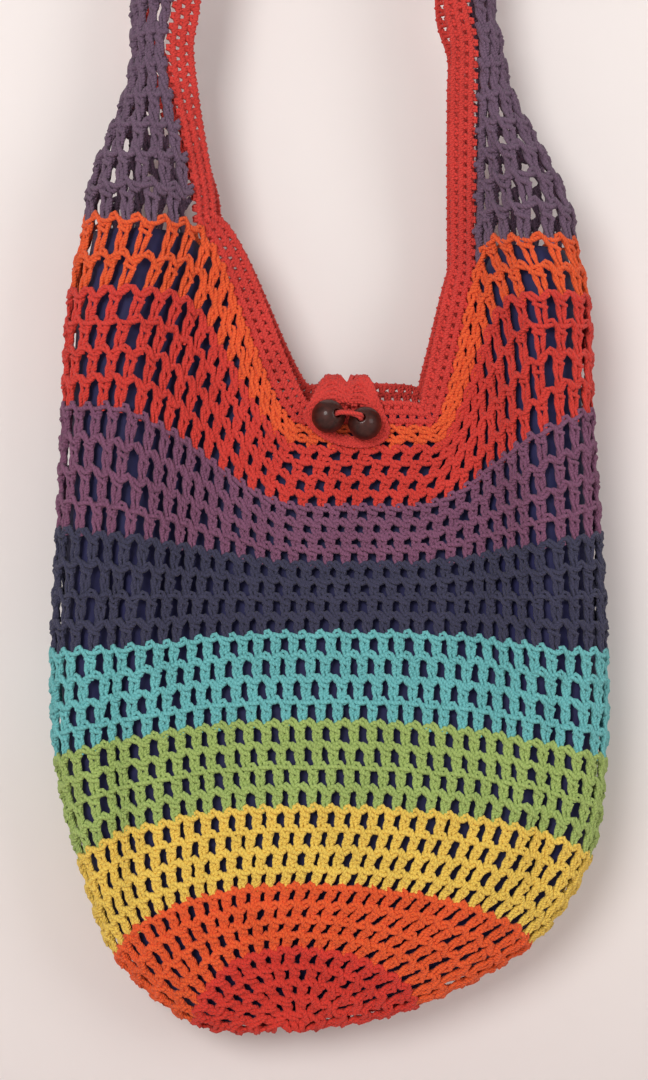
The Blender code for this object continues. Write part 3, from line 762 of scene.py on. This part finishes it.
def core_grid(side):
    """A shoulder and its half of the strap core as a smooth grid, from the top band to the seam."""
    phis = side_angles(side, CORE_SAMPLES)
    base = wall(phis, np.full_like(phis, TOP_ROUND))
    qs = np.linspace(-CORE_WIDTH / 2.0, CORE_WIDTH / 2.0, CORE_SAMPLES)
    strap = [section(*station, qs) for station in strap_stations(side)]
    rows = [base]
    for k in range(1, SHOULDER_STEPS):
        w = k / SHOULDER_STEPS
        mixed = base + (strap[0] - base) * ease(w)
        mixed[:, 2] = base[:, 2] + (strap[0][:, 2] - base[:, 2]) * w
        rows.append(mixed)
    rows = np.array(rows + strap)
    middle = rows[:, CORE_SAMPLES // 2]
    length = way_along(middle)
    smooth = through(np.linspace(0.0, length[-1], CORE_ROWS), length, rows)
    return smooth, length[-1]


def core_cloth(side):
    """The same grid as cloth, with its normals outwards."""
    grid, length = core_grid(side)
    if side < 0:
        grid = grid[:, ::-1]
    return Cloth(grid, round(length / STRAP_ROW), False)


def shoulder_feet(side):
    """Places of the first shoulder stitches, one over each stitch of the top band."""
    fine = np.linspace(-math.pi, math.pi, ROUND_SAMPLES)
    points = wall(fine, np.full_like(fine, TOP_ROUND))
    length = way_along(points)
    ends = side_angles(side, 2)
    low, high = sorted(np.interp(ends, fine, length) / length[-1])
    feet = ((np.arange(FULL_ROUND) + 0.5) / FULL_ROUND - low) / (high - low)
    return feet[(feet > 0.02) & (feet < 0.98)]


def make_core(side, name, look):
    """Rows of V-stitches that narrow up the shoulder into the strap."""
    cloth = core_cloth(side)
    strands = Strands()
    feet = shoulder_feet(side)
    stamped(cloth, len(feet), 0.0, strands, STRAP_YARN, feet)
    for row in range(1, int(cloth.rows)):
        columns = SHOULDER_COLUMNS[row - 1] if row <= len(SHOULDER_COLUMNS) else STRAP_COLUMNS
        stamped(cloth, columns, float(row), strands, STRAP_YARN)
    return strands.mesh(name + "_stitches", look)


def edge_cloth(front):
    """An edging as a closed ring of cloth, from its seam to its free edge."""
    left, right = math.radians(LEFT_NECK_ANGLE), math.radians(RIGHT_NECK_ANGLE)
    ends = (-left, right) if front else (math.pi + left, math.pi - right)
    phis = np.linspace(*ends, NECK_SAMPLES)
    neck = wall(phis, np.full_like(phis, TOP_ROUND))
    step = 1e-3
    along = wall(phis + step, TOP_ROUND + phis * 0) - wall(phis - step, TOP_ROUND + phis * 0)
    up = neck - wall(phis, TOP_ROUND - 0.01 + phis * 0)
    neck_normal = unit(np.cross(along, up))
    column = 0 if front else -1
    sides = []
    for side in (1, -1):
        grid, _ = core_grid(side)
        flat = Cloth(grid if side > 0 else grid[:, ::-1], 1.0, False)
        normals = flat.normals if side > 0 else flat.normals[:, ::-1]
        sides.append((grid[:, column], normals[:, column]))
    (right_edge, right_normal), (left_edge, left_normal) = sides
    line = np.concatenate([neck, right_edge[1:-1], left_edge[1:][::-1]])
    normal = np.concatenate([neck_normal, right_normal[1:-1], left_normal[1:][::-1]])
    length = way_along(line)
    total = length[-1] + np.linalg.norm(line[0] - line[-1])
    want = np.arange(EDGE_SAMPLES) / EDGE_SAMPLES * total
    line = np.concatenate([line, line[:1]])
    normal = np.concatenate([normal, normal[:1]])
    length = np.append(length, total)
    line = np.stack([np.interp(want, length, line[:, axis]) for axis in range(3)], axis=-1)
    normal = unit(np.stack([np.interp(want, length, normal[:, axis]) for axis in range(3)], axis=-1))
    tangent = unit(np.roll(line, -1, axis=0) - np.roll(line, 1, axis=0))
    reach = np.cross(normal, tangent) * (1.0 if front else -1.0)
    for _ in range(EDGE_SMOOTHING):
        reach = unit(reach + np.roll(reach, 1, axis=0) + np.roll(reach, -1, axis=0))
    steps = np.linspace(0.0, 1.0, EDGE_STEPS + 1)[:, None, None]
    grid = line[None] + reach[None] * (SEAM + EDGING * steps)
    normals = np.repeat(normal[None], EDGE_STEPS + 1, axis=0)
    return Cloth(grid, float(EDGING_ROWS), True, normals), total


def tight_round(cloth, row, count, strands, out, shift, yarn):
    """One round of tight stitches: short slanting legs under a rope-like chain."""
    tau = np.linspace(0.0, 1.0, 2)
    f0 = (np.arange(count) + 0.5 + shift)[:, None]
    for side in (-1.0, 1.0):
        f = (f0 + side * (TIGHT_FOOT + TIGHT_SPREAD * tau) + TIGHT_SLANT * tau) / count
        r = row + TIGHT_START + TIGHT_RISE * tau
        strands.add(*cloth.place(f, r, 0.0, 0.0, out - TIGHT_STEP), radius=yarn)
    c = np.arange(count * ROPE_POINTS) / ROPE_POINTS
    for ply in (0, 1):
        angle = 2.0 * math.pi * c + math.pi * ply
        up = ROPE_UP * yarn * np.cos(angle)
        lift = out + TIGHT_STEP + ROPE_OUT * yarn * np.sin(angle)
        strands.add(*cloth.place(c / count, row + TIGHT_CHAIN, 0.0, up, lift), closed=True, radius=yarn)


def make_edging(front, name, look):
    """An edging's stitches, and the cloth that they lie on."""
    cloth, total = edge_cloth(front)
    count = round(total / EDGING_STITCH)
    strands = Strands()
    for row in range(EDGING_ROWS):
        tight_round(cloth, float(row), count, strands, EDGING_OUT, 0.5 * (row % 2), EDGING_YARN)
    return strands.mesh(name + "_stitches", look), cloth


def edge_places():
    """Places round an edging, evenly spaced."""
    return np.linspace(0.0, 1.0, EDGE_SAMPLES, endpoint=False)


def rim_of(cloth):
    """Free edge of an edging along the neck, from left to right: x, height and depth."""
    points, _ = cloth.place(edge_places(), float(EDGING_ROWS))
    points = points[points[:, 2] < NECK_TOP]
    points = points[np.argsort(points[:, 0])]
    return points[:, 0], points[:, 2], points[:, 1]


def front_face(cloth, x_low, x_high):
    """How far to the front the front edging reaches between two places across."""
    f, r = np.meshgrid(edge_places(), np.linspace(0.0, EDGING_ROWS, EDGE_STEPS + 1))
    points, _ = cloth.place(f, r, 0.0, 0.0, FABRIC)
    reach = (x_high - x_low) / 4.0
    x = points[..., 0]
    near = (x > x_low - reach) & (x < x_high + reach) & (points[..., 2] < NECK_TOP)
    return points[near][:, 1].min()


def drape_path(x, low, face, front_rim, back_rim):
    """Depths and heights of the loop at x: up the front edging, over its rim and on to the back rim,
    and the way along them."""
    near = np.array([x - DRAPE_REACH, x, x + DRAPE_REACH])
    rim = np.interp(near, front_rim[0], front_rim[1]).max()
    back = np.interp(near, back_rim[0], back_rim[1]).max()
    back_face = np.interp(near, back_rim[0], back_rim[2]).min()
    top = max(rim, back) + LOOP_EASE
    first, second, third = DRAPE_STEPS
    path = np.array([
        (face, low),
        (face, rim + LOOP_EASE),
        (face + first, max(rim + DRAPE_REACH, (rim + top) / 2.0)),
        (max(face + second, (face + back_face) / 2.0), top + first),
        (max(face + third, back_face + FABRIC), top),
    ])
    return path, way_along(path)


def loop_cloth(centres, front_cloth, back_cloth):
    """The button loop from its hole round the beads to its outline and its root on the back rim."""
    middle = (centres[0] + centres[1]) / 2.0
    width, drop = LOOP_OUTSIDE
    front_rim, back_rim = rim_of(front_cloth), rim_of(back_cloth)
    face = front_face(front_cloth, middle.x - width, middle.x + width) - BEAD_CLEARANCE
    low = middle.z - 2.0 * BEAD_DIAMETER
    slope = math.tan(math.radians(LOOP_TILT))
    angles = np.arange(LOOP_SAMPLES) * 2.0 * math.pi / LOOP_SAMPLES
    grid = np.empty((LOOP_STEPS + 1, LOOP_SAMPLES, 3))
    for i, angle in enumerate(angles):
        c, s = math.cos(angle), math.sin(angle)
        hole_x = LOOP_HOLE[0] * math.copysign(abs(c) ** LOOP_HOLE_SQUARE, c)
        hole_rise = LOOP_HOLE[1] * math.copysign(abs(s) ** LOOP_HOLE_SQUARE, s)
        hole = (middle.x + hole_x, middle.z + hole_rise - slope * hole_x, 0.0)
        if s <= 0.0:
            edge = (middle.x + width * c, middle.z + drop * s - slope * width * c, 0.0)
        else:
            half = width + (LOOP_ROOT - width) * min(1.0, s * LOOP_FLARE)
            edge_x = half * math.copysign(abs(c) ** LOOP_TAB_SQUARE, c)
            notch = 1.0 - LOOP_NOTCH * math.exp(-((edge_x / LOOP_NOTCH_WIDTH) ** 2))
            edge = (middle.x + edge_x, middle.z - slope * edge_x * (1.0 - s), s**LOOP_RISE * notch)
        for j in range(LOOP_STEPS + 1):
            x, height, share = (a + (b - a) * j / LOOP_STEPS for a, b in zip(hole, edge))
            path, lengths = drape_path(x, low, face, front_rim, back_rim)
            place = height - low
            place = place + (lengths[-1] - place) * share
            y, z = (np.interp(place, lengths, path[:, axis]) for axis in (0, 1))
            grid[j, i] = (x, y, z)
    for _ in range(3):
        grid[1:-1] = (grid[:-2] + 2.0 * grid[1:-1] + grid[2:]) / 4.0
    cloth = Cloth(grid, float(LOOP_ROWS), True)
    if cloth.normals[0, LOOP_SAMPLES * 3 // 4, 1] > 0.0:
        cloth.normals = -cloth.normals
    return cloth


def make_loop(cloth, look):
    """Rounds of tight stitches round the beads, with short rows that fill the tab above them."""
    strands = Strands()
    for row in range(LOOP_ROWS):
        count = LOOP_STITCHES + LOOP_GROWTH * row
        tight_round(cloth, float(row), count, strands, LOOP_OUT, 0.0, LOOP_YARN)
    for row in range(1, LOOP_FILL):
        reach = LOOP_FILL_REACH * (0.75 + 0.25 * row / LOOP_FILL)
        f = np.linspace(0.25 - reach, 0.25 + reach, LOOP_FILL_POINTS)
        f = f + rng.uniform(-LOOP_FILL_DRIFT, LOOP_FILL_DRIFT, LOOP_FILL_POINTS)
        turn = np.linspace(0.0, 2.0 * math.pi * LOOP_FILL_TURNS, LOOP_FILL_POINTS)
        for ply in (0, 1):
            angle = turn + math.pi * ply + row
            lift = LOOP_FILL_OUT + LOOP_FILL_SWING * np.sin(angle)
            across = LOOP_FILL_TWIST * np.cos(angle)
            rows = LOOP_ROWS * row / LOOP_FILL
            strands.add(*cloth.place(f, rows, 0.0, across, lift), radius=LOOP_YARN)
    return strands.mesh("button_loop_stitches", look)


def bead_places():
    """Each bead's centre, taken from its solid, and the aim of its bore."""
    found = []
    for name, aim in (("bead_left", LEFT_BORE_AIM), ("bead_right", RIGHT_BORE_AIM)):
        low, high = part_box(name)
        found.append(((Vector(low) + Vector(high)) / 2.0, Vector(aim).normalized()))
    return found


def make_bead(name, centre, aim, look):
    """A turned ball with a rounded bore mouth."""
    radius, bore, lip = BEAD_DIAMETER / 2.0, BEAD_BORE / 2.0, BEAD_LIP
    start = math.asin((bore + lip) / radius)
    arc = np.linspace(start, math.pi - start, BEAD_ARC)
    profile = [(radius * math.sin(a), radius * math.cos(a)) for a in arc]
    end_z = radius * math.cos(start)
    lips = np.linspace(0.0, math.pi / 2.0, 5)[1:]
    for a in lips:
        profile.append((bore + lip * (1.0 - math.sin(a)), -end_z + lip * (1.0 - math.cos(a))))
    for a in lips[::-1]:
        profile.append((bore + lip * (1.0 - math.sin(a)), end_z - lip * (1.0 - math.cos(a))))
    profile = np.array(profile)
    steps, count = BEAD_STEPS, len(profile)
    turn = np.arange(steps) * 2.0 * math.pi / steps
    verts = np.stack([
        profile[None, :, 0] * np.cos(turn)[:, None],
        profile[None, :, 0] * np.sin(turn)[:, None],
        np.repeat(profile[None, :, 1], steps, axis=0),
    ], axis=-1).reshape(-1, 3)
    i, k = np.meshgrid(np.arange(steps), np.arange(count), indexing="ij")
    i2, k2 = (i + 1) % steps, (k + 1) % count
    quads = [i * count + k, i * count + k2, i2 * count + k2, i2 * count + k]
    faces = np.stack(quads, axis=-1).reshape(-1, 4)
    uvs = np.zeros((len(faces) * 4, 2))
    made = grid_object(name, verts, faces, uvs, look)
    made.matrix_world = Matrix.Translation(centre) @ aim.to_track_quat("Z", "Y").to_matrix().to_4x4()
    return made


def make_link(places, look):
    """The doubled yarn through both beads, crossing between their bores."""
    (left, left_aim), (right, right_aim) = places
    reach = BEAD_DIAMETER / 2.0
    lead = reach + LINK_LEAD
    a, b = left + left_aim * lead, right + right_aim * lead
    rise = (b - a).length * LINK_BEND
    points = [left - left_aim * reach * LINK_END, left, left + left_aim * reach * LINK_INSIDE]
    for s in np.linspace(0.0, 1.0, 9):
        points.append(
            a * (1 - s) ** 3
            + (a + left_aim * rise) * 3 * s * (1 - s) ** 2
            + (b + right_aim * rise) * 3 * s * s * (1 - s)
            + b * s**3
        )
    points += [right + right_aim * reach * LINK_INSIDE, right, right - right_aim * reach * LINK_END]
    line = np.array([list(p) for p in points])
    length = way_along(line)
    line = through(np.linspace(0.0, length[-1], LINK_POINTS), length, line)
    tangent = unit(np.gradient(line, axis=0))
    side = unit(np.cross(tangent, np.array([0.1, -0.2, 1.0])))
    out = np.cross(side, tangent)
    strands = Strands()
    turn = np.linspace(0.0, LINK_HALF_TURNS * math.pi, LINK_POINTS)[:, None]
    for ply in (0, 1):
        away = side * np.cos(turn + math.pi * ply) + out * np.sin(turn + math.pi * ply)
        strands.add(line + away * LINK_TWIST, out, radius=LINK_YARN)
    return strands.mesh("bead_link", look)


def make_lining(cloth):
    """The cloth sack: two layers close inside the mesh, softly creased, with a turned hem."""
    rows = np.concatenate([np.linspace(0.02, 9.0, 24), np.linspace(9.4, TOP_ROUND - LINING_HEM, 50)])
    columns = LINING_COLUMNS
    f, r = np.meshgrid(np.arange(columns) / columns, rows)
    wide = np.sin(f * 2 * math.pi * 23 + 1.3 * np.sin(r * 0.7))
    crease = WIDE_CREASE * wide * np.sin(r * 0.45 + f * 9)
    crease = crease + FINE_CREASE * np.sin(f * 2 * math.pi * 51 + r * 1.9)
    fade = np.clip(r / 4.0, 0.0, 1.0)
    off = -LINING_EASE - LINING_GAP - (np.abs(crease) + CREASE_LIFT) * fade
    outer, _ = cloth.place(f, r, 0.0, 0.0, off)
    inner, _ = cloth.place(f, r, 0.0, 0.0, off - LINING_WALL)
    height = len(rows)
    verts = np.concatenate([outer.reshape(-1, 3), inner.reshape(-1, 3)])
    j, i = np.meshgrid(np.arange(height - 1), np.arange(columns), indexing="ij")
    i2 = (i + 1) % columns
    low, high = j * columns, (j + 1) * columns
    sheet = np.stack([low + i, low + i2, high + i2, high + i], axis=-1).reshape(-1, 4)
    shift = height * columns
    k = np.arange(columns)
    k2 = (k + 1) % columns
    top = shift - columns
    hem = np.stack([top + k, top + k2, shift + top + k2, shift + top + k], axis=-1)
    eye = np.stack([k2, k, shift + k, shift + k2], axis=-1)
    faces = np.concatenate([sheet, sheet[:, ::-1] + shift, hem, eye])
    made = grid_object("lining_cloth_sack", verts, faces, np.zeros((len(faces) * 4, 2)), cloth_look())
    steps = np.diff(outer, axis=0)
    across = np.roll(outer, -1, axis=1) - outer
    area = float(np.linalg.norm(np.cross(across[:-1], steps), axis=-1).sum())
    return made, area


def build_bag():
    """Every piece of the bag, each in the place of its solid."""
    cloth = bag_cloth()
    for index, band in enumerate(BANDS):
        name = band[0]
        strands = Strands()
        for row in range(int(ROUNDS[index]), int(ROUNDS[index + 1])):
            count = min(FULL_ROUND, round(ROUND_GROWTH * (row + 1)))
            thick = 1.0 + BASE_THICK * max(0.0, 1.0 - row / BASE_ROUNDS)
            shift = (row + 1 - TOP_ROUND) * ROUND_SHIFT
            stamped(cloth, count, float(row), strands, thick, None, shift)
        piece = strands.mesh(name + "_stitches", yarn_look(name, COLOURS[name]))
        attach(piece, "bag")
        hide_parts(name)
    lining, area = make_lining(cloth)
    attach(lining, "bag")
    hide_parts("lining")
    purple = yarn_look("shoulder_yarn", COLOURS["shoulder"])
    for side, name in ((-1, "shoulder_left"), (1, "shoulder_right")):
        piece = make_core(side, name, purple)
        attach(piece, "bag")
        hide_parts(name)
    red = yarn_look("edging_yarn", COLOURS["edging"])
    cloths = []
    for front, name in ((True, "front_edging"), (False, "back_edging")):
        piece, edge = make_edging(front, name, red)
        cloths.append(edge)
        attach(piece, "bag")
        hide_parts(name)
    places = bead_places()
    loop = loop_cloth([place[0] for place in places], *cloths)
    piece = make_loop(loop, red)
    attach(piece, "bag")
    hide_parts("button_loop")
    wood = wood_look()
    beads = (("bead_left", "left_bead"), ("bead_right", "right_bead"))
    for (centre, aim), (name, body) in zip(places, beads):
        bead = make_bead(name + "_turned", centre, aim, wood)
        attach(bead, body)
        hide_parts(name)
    link = make_link(places, red)
    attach(link, "bag")
    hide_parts("bead_yarn")


def stage_plane(name, corners, look):
    """A flat part of the stage."""
    made = grid_object(name, np.array(corners), np.array([[0, 1, 2, 3]]), np.zeros((4, 2)), look)


def area_light(name, place, size, power, colour):
    """A round lamp that shines at the middle of the bag."""
    data = bpy.data.lights.new(name, "AREA")
    data.shape = "DISK"
    data.size = size
    data.energy = power
    data.color = colour
    lamp = bpy.data.objects.new(name, data)
    bpy.context.scene.collection.objects.link(lamp)
    lamp.location = place
    lamp.rotation_euler = (Vector(LAMP_AIM) - Vector(place)).to_track_quat("-Z", "Y").to_euler()


def build_stage():
    """A pale wall behind the bag, a floor, soft light from the upper left and the camera."""
    wide, y = STAGE_HALF, WALL_PLANE
    corners = [(-wide, y, FLOOR), (wide, y, FLOOR), (wide, y, STAGE_HIGH), (-wide, y, STAGE_HIGH)]
    stage_plane("wall", corners, wall_look(True))
    corners = [(-wide, -wide, FLOOR), (wide, -wide, FLOOR), (wide, wide, FLOOR), (-wide, wide, FLOOR)]
    stage_plane("floor", corners, wall_look(False))
    world = bpy.data.worlds.new("studio")
    bpy.context.scene.world = world
    world.use_nodes = True
    backdrop = world.node_tree.nodes["Background"]
    backdrop.inputs["Color"].default_value = ROOM_COLOUR
    backdrop.inputs["Strength"].default_value = ROOM_LIGHT
    for lamp in LAMPS:
        area_light(*lamp)
    camera = bpy.data.cameras.new("camera")
    camera.sensor_width = 36.0
    camera.lens = camera.sensor_width / 2.0 * CAMERA_DISTANCE / (PHOTO_HEIGHT / 2.0)
    eye = bpy.data.objects.new("camera", camera)
    bpy.context.scene.collection.objects.link(eye)
    eye.location = (PHOTO_CENTRE[0], FRONT_PLANE - CAMERA_DISTANCE, PHOTO_CENTRE[1])
    eye.rotation_euler = (math.pi / 2.0, 0.0, 0.0)
    bpy.context.scene.camera = eye
    bpy.context.scene.view_settings.view_transform = "Standard"


build_stage()
build_bag()
